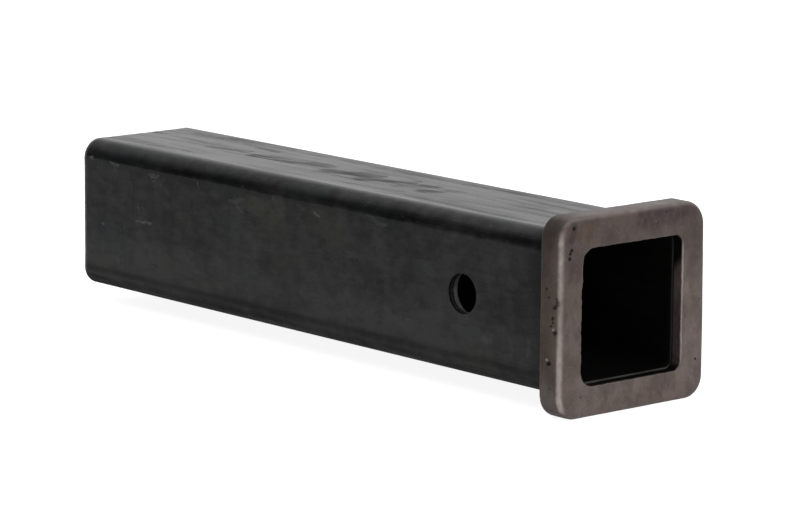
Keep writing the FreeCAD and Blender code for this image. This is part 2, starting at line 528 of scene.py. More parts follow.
@dataclass(frozen=True)
class MillScale:
    """The dark blue-grey scale of hot-rolled tube: long streaks, rubs, chips, stray tints, painted light, shade and
    highlights.
    """

    dark: Colour = (0.0070, 0.0073, 0.0072)
    light: Colour = (0.0600, 0.0598, 0.0590)
    olive: Colour = (0.0450, 0.0455, 0.0280)
    teal: Colour = (0.0240, 0.0400, 0.0380)
    # The colour of chips and of the painted highlight along the upper corners.
    chipped: Colour = (0.240, 0.240, 0.232)
    # The colour of painted shade and of the dark marks.
    shaded: Colour = (0.0025, 0.0024, 0.0024)
    specular: float = 0.105
    roughness: float = 0.115
    underside_roughness: float = 0.62
    bright_marks: tuple[Mark, ...] = ()
    dark_marks: tuple[Mark, ...] = ()
    dark_rubs: tuple[Mark, ...] = ()
    olive_stains: tuple[Mark, ...] = ()
    teal_stains: tuple[Mark, ...] = ()

    def build(self) -> bpy.types.Material:
        """Lay out the finish.

        Returns:
            The material.
        """
        recipe = Recipe("mill_scale")
        shader = recipe.shader
        patches = recipe.noise((46.0, 22.0, 24.0), 1.5, 4.0)
        streaks = recipe.noise((38.0, 0.9, 0.9), 2.5, 4.0)
        brushed = recipe.noise((14.0, 0.35, 0.35), 3.5, 3.0)
        upright = recipe.noise((7.0, 24.0, 30.0), 4.5, 3.0)
        blotches = recipe.noise((5.6, 4.2, 4.2), 5.1, 5.0)
        grain = recipe.noise(0.55, 5.5, 3.0)

        flakes = recipe.noise((6.5, 2.2, 2.4), 5.8, 3.0)
        tone = recipe.sum("ADD", recipe.ease(patches, 0.40, 0.60, 0.0, 0.27), recipe.ease(streaks, 0.38, 0.62, 0.0, 0.07))
        tone = recipe.sum("ADD", tone, recipe.ease(upright, 0.40, 0.60, 0.0, 0.15))
        tone = recipe.sum("ADD", tone, recipe.ease(blotches, 0.40, 0.60, 0.0, 0.26))
        tone = recipe.sum("ADD", tone, recipe.ease(flakes, 0.42, 0.60, 0.0, 0.18))
        # Painted light where the mesh says.
        tone = recipe.sum("ADD", tone, recipe.sum("MULTIPLY", recipe.painted("painted_light"), 0.36))
        colour = recipe.blend(tone, self.dark, self.light)
        ragged = recipe.ease(recipe.noise((3.5, 2.5, 2.5), 6.3, 4.0), 0.34, 0.62, 0.15, 1.0)
        chipping, smearing = recipe.wavering((4.6, 2.6, 2.6), 6.5, 2.4), recipe.wavering((11.0, 5.0, 5.0), 6.7, 5.0)
        stray_olive = recipe.ease(recipe.noise((30.0, 18.0, 13.0), 6.9, 3.0), 0.62, 0.74, 0.0, 0.45)
        olive = recipe.sum("MAXIMUM", recipe.marks(self.olive_stains, smearing), stray_olive)
        colour = recipe.blend(recipe.sum("MULTIPLY", olive, ragged), colour, self.olive)
        stray_teal = recipe.ease(recipe.noise((22.0, 16.0, 14.0), 7.9, 3.0), 0.62, 0.74, 0.0, 0.5)
        teal = recipe.sum("MAXIMUM", recipe.marks(self.teal_stains, smearing), stray_teal)
        colour = recipe.blend(recipe.sum("MULTIPLY", teal, ragged), colour, self.teal)
        # Painted shade from the mesh, and the dark marks.
        shade = recipe.sum("MAXIMUM", recipe.painted("shade"), recipe.marks(self.dark_marks, chipping))
        colour = recipe.blend(shade, colour, self.shaded)

        flecks = recipe.ease(recipe.noise((1.9, 1.0, 1.0), 8.1, 2.0), 0.70, 0.77, 0.0, 0.32)
        dashes = recipe.ease(recipe.noise((4.5, 0.5, 0.5), 8.7, 2.0), 0.72, 0.78, 0.0, 0.2)
        worn_and_highlit = recipe.sum("MAXIMUM", recipe.sum("MAXIMUM", flecks, dashes), recipe.marks(self.bright_marks, chipping))
        chipped = recipe.ease(recipe.noise((3.4, 1.8, 1.8), 9.7, 3.0), 0.34, 0.56, 0.35, 1.0)
        worn_and_highlit = recipe.sum("MULTIPLY", worn_and_highlit, chipped)
        # The painted highlight and bared steel along the upper corners.
        edge_wear_and_highlight = recipe.sum("MULTIPLY", recipe.painted("wear_and_highlight"), recipe.ease(brushed, 0.35, 0.65, 0.5, 1.0))
        worn_and_highlit = recipe.sum("MAXIMUM", worn_and_highlit, edge_wear_and_highlight)
        colour = recipe.blend(worn_and_highlit, colour, self.chipped)
        recipe.feed(shader.inputs["Base Color"], colour)

        wisps = recipe.noise((32.0, 6.0, 9.0), 10.3, 3.0, turned=24.0)
        rubs = recipe.sum("MULTIPLY", recipe.marks(self.dark_rubs, smearing), recipe.ease(wisps, 0.34, 0.54, 0.45, 1.0))
        gloss = recipe.sum("ADD", recipe.ease(streaks, 0.34, 0.66, -0.05, 0.09), recipe.ease(patches, 0.3, 0.7, -0.03, 0.05))
        bands = recipe.noise((60.0, 5.5, 5.5), 9.1, 3.0)
        gloss = recipe.sum("ADD", gloss, recipe.ease(bands, 0.40, 0.60, -0.03, 0.11))
        gloss = recipe.sum("ADD", gloss, recipe.ease(rubs, 0.0, 1.0, self.roughness, self.roughness + 0.26))
        dulled = recipe.sum("MULTIPLY", recipe.painted("dull"), self.underside_roughness - self.roughness)
        recipe.feed(shader.inputs["Roughness"], recipe.sum("ADD", gloss, dulled))
        shader.inputs["Specular IOR Level"].default_value = self.specular

        height = recipe.sum("ADD", recipe.ease(streaks, 0.2, 0.8, 0.0, 0.25), recipe.ease(brushed, 0.2, 0.8, 0.0, 0.12))
        height = recipe.sum("ADD", height, recipe.ease(grain, 0.2, 0.8, 0.0, 0.25))
        height = recipe.sum("SUBTRACT", height, recipe.ease(worn_and_highlit, 0.2, 1.0, 0.0, 0.6))
        recipe.relief(height, 0.02)
        return recipe.material


@dataclass(frozen=True)
class ShadedBoreScale:
    """The dull black scale inside the tube, where no handling reaches, painted far darker than the outside as shade for
    the unlit bore.
    """

    dark: Colour = (0.0035, 0.0033, 0.0031)
    light: Colour = (0.0085, 0.0078, 0.0072)
    specular: float = 0.05
    roughness: float = 0.75

    def build(self) -> bpy.types.Material:
        """Lay out the finish.

        Returns:
            The material.
        """
        recipe = Recipe("shaded_bore_scale")
        streaks = recipe.noise((30.0, 1.4, 1.4), 11.5, 4.0)
        patches = recipe.noise(16.0, 12.5, 3.0)
        tone = recipe.sum("MULTIPLY", recipe.ease(streaks, 0.3, 0.7), recipe.ease(patches, 0.3, 0.7))
        recipe.feed(recipe.shader.inputs["Base Color"], recipe.blend(tone, self.dark, self.light))
        gloss = recipe.ease(patches, 0.3, 0.7, self.roughness - 0.1, self.roughness + 0.1)
        recipe.feed(recipe.shader.inputs["Roughness"], gloss)
        recipe.shader.inputs["Specular IOR Level"].default_value = self.specular
        recipe.relief(streaks, 0.05)
        return recipe.material


@dataclass(frozen=True)
class CutSteel:
    """Steel that a saw or a punch has cut: fine parallel lines, with painted shade where the mesh says so."""

    name: str
    dark: Colour
    light: Colour
    shadowed: Colour
    line_size: tuple[float, float, float]
    specular: float = 0.3
    roughness: float = 0.45

    def build(self) -> bpy.types.Material:
        """Lay out the finish.

        Returns:
            The material.
        """
        recipe = Recipe(self.name)
        lines = recipe.noise(self.line_size, 21.5, 3.0)
        bloom = recipe.noise(5.0, 22.5, 4.0)
        tone = recipe.sum("ADD", recipe.ease(lines, 0.3, 0.7, 0.0, 0.65), recipe.ease(bloom, 0.35, 0.65, 0.0, 0.35))
        colour = recipe.blend(tone, self.dark, self.light)
        # Painted shade where the mesh says.
        colour = recipe.blend(recipe.painted("recess_shade"), colour, self.shadowed)
        recipe.feed(recipe.shader.inputs["Base Color"], colour)
        gloss = recipe.ease(bloom, 0.3, 0.7, self.roughness - 0.08, self.roughness + 0.12)
        recipe.feed(recipe.shader.inputs["Roughness"], gloss)
        recipe.shader.inputs["Specular IOR Level"].default_value = self.specular
        recipe.relief(lines, 0.06)
        return recipe.material


@dataclass(frozen=True)
class ForgedScale:
    """The grey-brown oxide of a forging: mottled tints, pits, edges bared to brighter steel by use, painted highlights,
    painted light and painted shade.
    """

    brown: Colour = (0.099, 0.0765, 0.0710)
    lit_brown: Colour = (0.166, 0.130, 0.121)
    tan: Colour = (0.120, 0.080, 0.055)
    grey_green: Colour = (0.088, 0.080, 0.064)
    plum: Colour = (0.070, 0.048, 0.051)
    flank: Colour = (0.126, 0.0970, 0.0760)
    dark: Colour = (0.004, 0.003, 0.0025)
    worn_and_highlit: Colour = (0.445, 0.387, 0.362)
    specular: float = 0.16
    roughness: float = 0.5
    tan_stains: tuple[Mark, ...] = ()
    plum_stains: tuple[Mark, ...] = ()
    dark_patches: tuple[Mark, ...] = ()

    def build(self) -> bpy.types.Material:
        """Lay out the finish.

        Returns:
            The material.
        """
        recipe = Recipe("forged_scale")
        shader = recipe.shader
        clouds = recipe.noise(11.0, 31.5, 4.0)
        blots = recipe.noise((8.0, 8.0, 13.0), 32.5, 3.0)
        stains = recipe.noise((9.5, 9.5, 14.0), 33.5, 3.0)
        grain = recipe.noise(0.9, 34.5, 3.0)
        specks = recipe.noise(1.1, 35.5, 2.0)

        # Painted light: the brown is lightened where the mesh says.
        colour = recipe.blend(recipe.painted("painted_light"), self.brown, self.lit_brown)
        # The near side's warmer, less blue tint, also painted a little lighter.
        colour = recipe.blend(recipe.painted("flank"), colour, self.flank)
        colour = recipe.blend(recipe.ease(clouds, 0.44, 0.66, 0.0, 0.30), colour, self.tan)
        colour = recipe.blend(recipe.ease(blots, 0.46, 0.68, 0.0, 0.40), colour, self.grey_green)
        colour = recipe.blend(recipe.ease(stains, 0.46, 0.68, 0.0, 0.42), colour, self.plum)
        ragged = recipe.ease(recipe.noise(3.0, 33.9, 4.0), 0.34, 0.62, 0.2, 1.0)
        colour = recipe.blend(recipe.sum("MULTIPLY", recipe.marks(self.tan_stains), ragged), colour, self.tan)
        colour = recipe.blend(recipe.sum("MULTIPLY", recipe.marks(self.plum_stains), ragged), colour, self.plum)
        colour = recipe.blend(recipe.ease(grain, 0.34, 0.54, 0.15, 0.0), colour, self.dark)
        smears = recipe.noise((5.0, 5.0, 8.0), 34.9, 4.0)
        colour = recipe.blend(recipe.ease(smears, 0.36, 0.62, 0.22, 0.0), colour, self.dark)
        # Dark patches, painted shade in the pits, and painted shade in the lip.
        stain_and_shade = recipe.sum("MAXIMUM", recipe.marks(self.dark_patches), recipe.ease(recipe.painted("pit"), 0.12, 0.6, 0.0, 0.95))
        stain_and_shade = recipe.sum("MAXIMUM", stain_and_shade, recipe.painted("recess_shade"))
        colour = recipe.blend(stain_and_shade, colour, self.dark)

        patchy = recipe.ease(recipe.noise((1.8, 1.8, 2.4), 36.5, 4.0), 0.32, 0.58, 0.68, 1.0)
        # Bright steel on bared edges, painted highlights, and painted glints on the nibs.
        worn_and_highlit = recipe.sum("MULTIPLY", recipe.painted("wear_and_highlight"), patchy)
        worn_and_highlit = recipe.sum("MAXIMUM", worn_and_highlit, recipe.painted("nib"))
        worn_and_highlit = recipe.sum("MAXIMUM", worn_and_highlit, recipe.ease(specks, 0.71, 0.78, 0.0, 0.3))
        colour = recipe.blend(worn_and_highlit, colour, self.worn_and_highlit)
        recipe.feed(shader.inputs["Base Color"], colour)
        recipe.feed(shader.inputs["Metallic"], recipe.ease(worn_and_highlit, 0.1, 1.0, 0.0, 0.6))

        gloss = recipe.ease(worn_and_highlit, 0.0, 1.0, self.roughness, self.roughness - 0.1)
        gloss = recipe.sum("ADD", gloss, recipe.ease(clouds, 0.3, 0.7, -0.05, 0.08))
        recipe.feed(shader.inputs["Roughness"], gloss)
        shader.inputs["Specular IOR Level"].default_value = self.specular

        height = recipe.sum("ADD", recipe.ease(grain, 0.2, 0.8, 0.0, 0.5), recipe.ease(blots, 0.2, 0.8, 0.0, 0.5))
        recipe.relief(height, 0.05)
        return recipe.material


# ---- the tube


@dataclass(frozen=True)
class PinHole:
    """How the pin's hole is punched through one side wall, in millimetres."""

    side: int
    back: float
    radius: float
    land: float
    widening: float


@dataclass
class ReceiverTube:
    """The square tube, sawn to length and cut across for the hitch pin."""

    half: float = 31.75
    corner: float = 8.3
    bore_half: float = 26.19
    bore_corner: float = 2.74
    front: float = -5.0
    back: float = -304.8
    bore_bevel: float = 0.4
    outer_bevel: float = 0.12
    hole_up: float = 1.0
    rim_round: float = 0.2
    holes: tuple[PinHole, PinHole] = (PinHole(1, 62.45, 7.88, 5.1, 0.0), PinHole(-1, 61.9, 8.0, 4.2, 0.8))
    hollow: float = 0.12
    hollow_reach: float = 2.2
    per_flat: int = 44
    per_corner: int = 12
    lengthwise: int = 150
    block_half: float = 12.5
    block_rows: int = 13
    bright_marks: tuple[Mark, ...] = (
        Mark((-266.9, -31.75, 7.9), (-266.6, -31.75, 1.4), 0.6, 0.34),
        Mark((-268.2, -31.75, 1.0), (-258.8, -31.75, 1.9), 1.0, 0.5),
        Mark((-226.1, -31.75, 24.0), (-225.8, -31.75, 20.6), 0.6, 0.3),
        Mark((-258.6, -31.75, 22.1), (-253.4, -31.75, 22.9), 1.2, 0.30),
        Mark((-257.0, -31.75, 19.7), (-255.2, -31.75, 20.0), 0.9, 0.2),
        Mark((-287.0, -31.75, 24.6), (-280.5, -31.75, 23.2), 0.9, 0.3),
        Mark((-284.3, -31.75, 24.2), (-281.5, -31.75, 20.0), 0.6, 0.26),
        Mark((-274.2, -31.75, 22.0), (-270.6, -31.75, 12.0), 0.6, 0.18),
        Mark((-277.3, -31.75, -1.0), (-276.5, -31.75, -7.6), 0.6, 0.24),
        Mark((-274.6, -31.75, -2.0), (-274.3, -31.75, -6.6), 0.6, 0.18),
        Mark((-291.9, -31.75, -3.4), (-291.1, -31.75, -3.5), 1.0, 0.36),
        Mark((-300.3, -31.75, 24.4), (-299.2, -31.75, 24.8), 1.0, 0.4),
        Mark((-282.2, -31.75, -17.9), (-281.2, -31.75, -18.2), 1.5, 0.2),
        Mark((-277.9, -31.75, -17.3), (-277.2, -31.75, -17.7), 1.3, 0.18),
        Mark((-205.0, -31.75, 18.5), (-197.0, -31.75, 19.4), 1.6, 0.16),
        Mark((-200.5, -31.75, 17.0), (-196.8, -31.75, 15.2), 1.1, 0.15),
        Mark((-176.5, -31.75, 22.8), (-174.0, -31.75, 20.4), 2.2, 0.15),
        Mark((-160.9, -31.75, 22.6), (-158.2, -31.75, 21.8), 1.6, 0.18),
        Mark((-151.4, -31.75, 20.3), (-147.4, -31.75, 20.0), 0.8, 0.42),
        Mark((-118.2, -31.75, 23.6), (-106.7, -31.75, 21.9), 1.2, 0.15),
        Mark((-112.6, -31.75, 10.9), (-110.3, -31.75, 12.2), 0.6, 0.24),
        Mark((-49.6, -31.75, -14.4), (-46.2, -31.75, -15.6), 2.0, 0.15),
        Mark((-24.6, -31.75, -12.0), (-24.0, -31.75, -17.0), 1.4, 0.13),
        Mark((-113.0, -31.75, -14.0), (-92.0, -31.75, -17.0), 4.5, 0.045),
        Mark((-188.0, -31.75, 17.5), (-173.0, -31.75, 19.5), 6.5, 0.07),
    )
    dark_marks: tuple[Mark, ...] = (
        Mark((-153.6, -31.75, 4.6), (-149.5, -31.75, 4.4), 0.9, 0.4),
        Mark((-133.8, -31.75, 7.1), (-130.8, -31.75, 6.6), 0.9, 0.35),
        Mark((-128.8, -31.75, 4.4), (-122.6, -31.75, 4.6), 0.8, 0.35),
        Mark((-268.0, -31.75, 9.8), (-262.5, -31.75, 10.2), 0.9, 0.3),
        Mark((-297.0, -31.75, 3.2), (-287.0, -31.75, 3.8), 0.9, 0.28),
        Mark((-238.0, -31.75, -1.6), (-228.0, -31.75, -1.0), 0.8, 0.25),
        Mark((-258.0, -31.75, -16.2), (-254.0, -31.75, -17.4), 1.0, 0.3),
        Mark((-236.0, -31.75, -18.6), (-229.0, -31.75, -18.2), 1.0, 0.3),
        Mark((-123.0, -31.75, 12.0), (-118.0, -31.75, -2.0), 4.5, 0.22),
        Mark((-94.0, -31.75, 20.0), (-91.0, -31.75, 2.0), 4.0, 0.2),
        Mark((-58.0, -31.75, 22.0), (-56.0, -31.75, 14.0), 4.0, 0.2),
        Mark((-42.0, -31.75, 1.5), (-36.0, -31.75, -6.0), 4.5, 0.2),
        Mark((-53.2, -31.75, -3.2), (-45.5, -31.75, -3.4), 1.0, 0.25),
    )
    dark_rubs: tuple[Mark, ...] = (
        Mark((-252.0, 16.0, 31.75), (-228.0, 14.0, 31.75), 5.0, 0.5),
        Mark((-226.0, -1.0, 31.75), (-184.0, 6.0, 31.75), 7.0, 0.85),
        Mark((-178.0, -4.0, 31.75), (-153.0, 4.0, 31.75), 7.5, 0.85),
        Mark((-153.0, -4.0, 31.75), (-134.0, 4.5, 31.75), 7.0, 0.8),
        Mark((-131.0, -3.4, 31.75), (-119.0, 4.0, 31.75), 6.5, 0.75),
        Mark((-114.0, -4.6, 31.75), (-104.0, 4.0, 31.75), 6.0, 0.7),
        Mark((-300.0, 19.5, 31.75), (-25.0, 19.5, 31.75), 3.4, 0.5),
        Mark((-215.0, -17.0, 31.75), (-120.0, -12.0, 31.75), 4.5, 0.35),
        Mark((-110.0, -17.5, 31.75), (-40.0, -18.5, 31.75), 3.5, 0.25),
        Mark((-82.0, 0.0, 31.75), (-55.0, 3.0, 31.75), 6.0, 0.3),
        Mark((-302.0, 5.4, 31.75), (-295.0, 8.4, 31.75), 3.5, 0.5),
        Mark((-300.0, -14.0, 31.75), (-252.0, -14.5, 31.75), 3.0, 0.35),
        Mark((-256.0, -1.4, 31.75), (-236.0, 3.0, 31.75), 5.0, 0.55),
    )
    olive_stains: tuple[Mark, ...] = (
        Mark((-190.0, -31.75, 19.0), (-174.0, -31.75, 12.0), 7.5, 0.8),
        Mark((-149.0, -31.75, 19.0), (-138.0, -31.75, 13.0), 7.0, 0.8),
        Mark((-58.0, -31.75, -23.0), (-48.0, -31.75, -24.0), 3.5, 0.6),
    )
    teal_stains: tuple[Mark, ...] = (
        Mark((-289.0, -31.75, -6.0), (-281.0, -31.75, -10.0), 8.0, 0.85),
        Mark((-290.0, -30.5, 26.0), (-256.0, -30.5, 26.5), 5.0, 0.6),
        Mark((-214.0, -30.5, 26.0), (-204.0, -30.5, 24.5), 5.0, 0.65),
        Mark((-168.0, -30.0, 27.0), (-150.0, -30.0, 27.0), 4.5, 0.7),
        Mark((-124.0, -30.5, 26.0), (-104.0, -30.8, 24.5), 4.5, 0.7),
        Mark((-288.0, -27.0, 30.5), (-240.0, -27.0, 30.5), 3.5, 0.5),
        Mark((-60.0, -31.75, -12.0), (-55.0, -31.75, -13.0), 3.5, 0.4),
    )
    piece: bpy.types.Object | None = field(default=None, init=False)

    def build(self) -> bpy.types.Object:
        """Build the tube and dress it.

        Returns:
            The piece.
        """
        stations = Stations.spread(self.per_flat, self.per_corner, crowding=0.55)
        outlines, outer, inner = self._section()
        points = np.vstack([stations.ring(line.half, line.corner, line.along) for line in outlines])
        blocks, skip = self._hole_blocks(stations, outlines, outer, inner)
        faces = loft_faces(len(outlines), stations.count, skip)
        region = self._regions(len(outlines), stations.count, skip, outer, inner)

        depth = np.zeros(len(points))
        points, faces, region, depth = self._cut_holes(points, faces, region, depth, blocks)
        drawn = points
        points = self._weather(points)
        self.piece = make_piece("tube_shell", points, faces)
        self._paint(drawn, depth)
        self._dress(region)
        return self.piece

    def _section(self) -> tuple[list[Outline], tuple[int, int], tuple[int, int]]:
        """Draw the tube's wall, round from the outer skin by the mouth.

        Returns:
            The outlines, the first and last of the outer skin, and the first and last of the bore.
        """
        bevel, fine, half, bore = self.bore_bevel, self.outer_bevel, self.half, self.bore_half
        pen = Pen(Outline(half, self.corner, self.front))
        outer_end = pen.run(Outline(half, self.corner, self.back + fine), self.lengthwise)
        pen.run(Outline(half - fine, self.corner - fine, self.back), 2)
        pen.run(Outline(bore + bevel, self.bore_corner + bevel, self.back), 8)
        pen.run(Outline(bore, self.bore_corner, self.back + bevel), 2)
        inner_start = len(pen.outlines) - 1
        inner_end = pen.run(Outline(bore, self.bore_corner, self.front - bevel), self.lengthwise)
        pen.run(Outline(bore + bevel, self.bore_corner + bevel, self.front), 2)
        pen.run(Outline(half - fine, self.corner - fine, self.front), 6)
        return pen.outlines, (0, outer_end), (inner_start, inner_end)

    def _hole_blocks(
        self, stations: Stations, outlines: list[Outline], outer: tuple[int, int], inner: tuple[int, int]
    ) -> tuple[list[tuple[list[int], list[int], PinHole]], set[tuple[int, int]]]:
        """Find the block of quads that each end of the pin's passage takes the place of.

        Args:
            stations: The places round each outline.
            outlines: The tube's outlines.
            outer: The first and last outline of the outer skin.
            inner: The first and last outline of the bore.

        Returns:
            For each side wall, the corners round its outer block, those round its inner block and its
            hole, and all the quads to leave out.
        """
        quarter = stations.per_flat + stations.per_corner
        ring = stations.ring(self.half, self.corner, 0.0)
        blocks, skip = [], set()
        for hole, start in zip(self.holes, (0, 2 * quarter)):
            flat = range(start, start + stations.per_flat + 1)
            inside = [place for place in flat if abs(ring[place, 2] - self.hole_up) < self.block_half]
            places = range(inside[0], inside[-1] + 1)
            loops = []
            for first, last in (outer, inner):
                nearest = sorted(range(first, last + 1), key=lambda row: abs(outlines[row].along + hole.back))
                near = sorted(nearest[: self.block_rows])
                rows = near if outlines[near[0]].along > outlines[near[-1]].along else near[::-1]
                loops.append(self._walk(rows, list(places), stations.count))
                skip |= {(row, place) for row in range(min(near), max(near)) for place in places[:-1]}
            blocks.append((loops[0], loops[1], hole))
        return blocks, skip

    @staticmethod
    def _walk(rows: list[int], places: list[int], count: int) -> list[int]:
        """Walk once round a block of the grid.

        Args:
            rows: Its outlines, from the mouth back.
            places: Its places, in order.
            count: How many places an outline has.

        Returns:
            The numbers of the corners on its border.
        """
        border = [(rows[0], place) for place in places[:-1]]
        border += [(row, places[-1]) for row in rows[:-1]]
        border += [(rows[-1], place) for place in places[:0:-1]]
        border += [(row, places[0]) for row in rows[:0:-1]]
        return [row * count + place for row, place in border]

    @staticmethod
    def _regions(
        outlines: int, count: int, skip: set[tuple[int, int]], outer: tuple[int, int], inner: tuple[int, int]
    ) -> np.ndarray:
        """Say which finish each quad takes.

        Args:
            outlines: How many outlines there are.
            count: How many places each of them has.
            skip: The quads left out.
            outer: The first and last outline of the outer skin.
            inner: The first and last outline of the bore.

        Returns:
            The finish's number for each quad.
        """
        rows = np.array([row for row in range(outlines) for place in range(count) if (row, place) not in skip])
        region = np.full(len(rows), TubeSurface.SAWN.value)
        region[(rows >= outer[0]) & (rows < outer[1])] = TubeSurface.OUTSIDE.value
        region[(rows >= inner[0]) & (rows < inner[1])] = TubeSurface.BORE.value
        return region

    def _cut_holes(
        self, points: np.ndarray, faces: list[tuple[int, ...]], region: np.ndarray, depth: np.ndarray, blocks: list
    ) -> tuple[np.ndarray, list[tuple[int, ...]], np.ndarray, np.ndarray]:
        """Fill each block round its hole, and line the hole.

        Args:
            points: The tube's corners.
            faces: Its quads.
            region: The finish of each quad.
            depth: How deep in a hole each corner is, in millimetres.
            blocks: The blocks that `_hole_blocks` found.

        Returns:
            The same four, with the holes'.
        """
        wall = self.half - self.bore_half
        for outer_loop, inner_loop, hole in blocks:
            aside = points[outer_loop][:, [0, 2]] - np.array([-hole.back, self.hole_up])
            reach = np.linalg.norm(aside, axis=1)
            rays = aside / reach[:, None]
            loops, kinds = [outer_loop], []
            for spread, into, kind in self._hole_rings(hole, reach, wall):
                flat = np.array([-hole.back, self.hole_up]) + rays * np.broadcast_to(spread, reach.shape)[:, None]
                level = np.full(len(flat), hole.side * (self.half - into))
                loops.append(list(range(len(points), len(points) + len(flat))))
                points = np.vstack([points, np.column_stack([flat[:, 0], level, flat[:, 1]])])
                depth = np.concatenate([depth, np.full(len(flat), into)])
                kinds.append(kind.value)
            loops.append(inner_loop)
            kinds.append(TubeSurface.BORE.value)
            for kind, here, ahead in zip(kinds, loops, loops[1:]):
                for place in range(len(here)):
                    beside = (place + 1) % len(here)
                    faces.append((here[place], ahead[place], ahead[beside], here[beside]))
                region = np.concatenate([region, np.full(len(here), kind)])
        return points, faces, region, depth

    def _hole_rings(
        self, hole: PinHole, reach: np.ndarray, wall: float
    ) -> list[tuple[np.ndarray | float, float, "TubeSurface"]]:
        """Lay out the rings from a block's border on the outside, through the hole, to the bore.

        Args:
            hole: The hole.
            reach: How far the block's border is from the hole's axis, in millimetres.
            wall: How thick the wall is, in millimetres.

        Returns:
            Each ring's radius, its depth in the wall, and the finish of the quads before it.
        """
        rings: list[tuple[np.ndarray | float, float, TubeSurface]] = []
        for share in (0.25, 0.5, 0.72, 0.9):
            rings.append((reach * (1 - share) + (hole.radius + self.rim_round) * share, 0.0, TubeSurface.OUTSIDE))
        for step in range(4):
            angle = step / 3 * math.pi / 2
            spread = hole.radius + self.rim_round * (1 - math.sin(angle))
            rings.append((spread, self.rim_round * (1 - math.cos(angle)), TubeSurface.OUTSIDE))
        for into in np.linspace(self.rim_round, hole.land, 12)[1:]:
            rings.append((hole.radius, float(into), TubeSurface.HOLE))
        for share in (0.4, 1.0):
            spread = hole.radius + hole.widening * share
            rings.append((spread, hole.land + (wall - hole.land) * share, TubeSurface.HOLE))
        for share in (0.8, 0.55, 0.25):
            rings.append((reach * (1 - share) + (hole.radius + hole.widening) * share, wall, TubeSurface.BORE))
        return rings

    def _weather(self, points: np.ndarray) -> np.ndarray:
        """Give the outer skin its slight hollows and waves, and the sawn end its burr.

        Args:
            points: The tube's corners.

        Returns:
            The corners moved.
        """
        across, up = points[:, 1], points[:, 2]
        flat_half = self.half - self.corner
        moved = points.copy()
        wave = unevenness(points, (70.0, 22.0, 22.0), 1.0, 2)
        ripple = unevenness(points, (16.0, 9.0, 9.0), 2.0, 2)
        for axis, other in ((1, up), (2, across)):
            height = points[:, axis]
            inside = np.clip(flat_half - np.abs(other), 0, None)
            on_face = smoothstep(np.abs(height), self.bore_half + 0.4, self.half - 0.4)
            on_face = on_face * (np.abs(other) < flat_half + 0.01)
            bend = self.hollow * (1 - np.exp(-inside / self.hollow_reach))
            bend = bend + 0.025 * (wave + 0.6) * smoothstep(inside, 0, 8) + 0.006 * ripple * smoothstep(inside, 0, 4)
            moved[:, axis] -= np.sign(height) * on_face * np.clip(bend, 0, None)
        burr = unevenness(points, (1.5, 1.2, 1.2), 3.0, 2)
        at_back = smoothstep(-points[:, 0], -self.back - 0.6, -self.back)
        outside = np.maximum(np.abs(across), np.abs(up)) > self.half - 0.6
        moved[:, 0] += at_back * np.clip(0.05 + 0.08 * burr, 0, None) * outside
        return moved

    def _paint(self, points: np.ndarray, depth: np.ndarray) -> None:
        """Store the tube's painted highlight on its bared corners, its painted shade and light, where it is dulled, and
        its painted shade in recesses.

        Args:
            points: The tube's corners as drawn.
            depth: How deep in a hole each corner is, in millimetres.
        """
        across, up = points[:, 1], points[:, 2]
        centre = self.half - self.corner
        round_corner = (np.abs(across) > centre) & (np.abs(up) > centre)
        tilt = np.degrees(np.arctan2(np.abs(up) - centre, np.maximum(np.abs(across) - centre, 1e-6)))
        outside = np.maximum(np.abs(across), np.abs(up)) > self.bore_half + 2.0
        # A painted highlight, with some bared steel, along the top of each upper corner.
        along = unevenness(points, (9.0, 60.0, 60.0), 4.0, 3)
        crest = np.exp(-(((tilt - 84.0) / 7.0) ** 2)) * round_corner * outside * (up > 0)
        paint(self.piece, "wear_and_highlight", np.clip(crest * (0.5 + 0.4 * along), 0, 1) * 0.12)
        low = (up < 0) * outside
        high = (up > 0) * outside
        # Painted shade: creases along the upper and lower corners, a fringe under the upper one, and the joint behind
        # the collar.
        waver = 1 + 0.35 * unevenness(points, (24.0, 60.0, 60.0), 4.6, 3)
        upper_width = np.where(tilt > 20.0, 21.0, 12.0)
        crease = 0.66 * high * np.exp(-(((tilt - 20.0) / upper_width) ** 2)) * round_corner
        below = -up - centre
        by_mouth = smoothstep(points[:, 0], -150.0, -60.0)
        lower = np.exp(-(((below - 0.3) / np.where(below > 0.3, 1.3, 1.7)) ** 2)) * (np.abs(across) > centre)
        crease = (crease + low * lower * (0.76 - 0.42 * by_mouth)) * waver
        crease = np.maximum(crease, 0.12 * low * (1 - by_mouth) * smoothstep(below, 0.5, 2.5) * round_corner)
        reach = 5.0 + 5.0 * unevenness(points, (17.0, 80.0, 80.0), 4.9, 3)
        fringe = smoothstep(up, centre - reach, centre + 0.5) * (np.abs(across) > self.half - 0.6) * (up <= centre + 0.5)
        fringe = fringe * high * (0.40 - 0.28 * smoothstep(points[:, 0], -120.0, -70.0))
        fringe = fringe * (1 + 0.5 * unevenness(points, (13.0, 9.0, 5.0), 5.2, 3))
        joint = smoothstep(points[:, 0], -26.0, -19.5) * outside * (0.40 + 0.35 * smoothstep(up, -5.0, 18.0))
        paint(self.piece, "shade", np.clip(np.maximum(np.maximum(crease, fringe), joint), 0, 0.92))
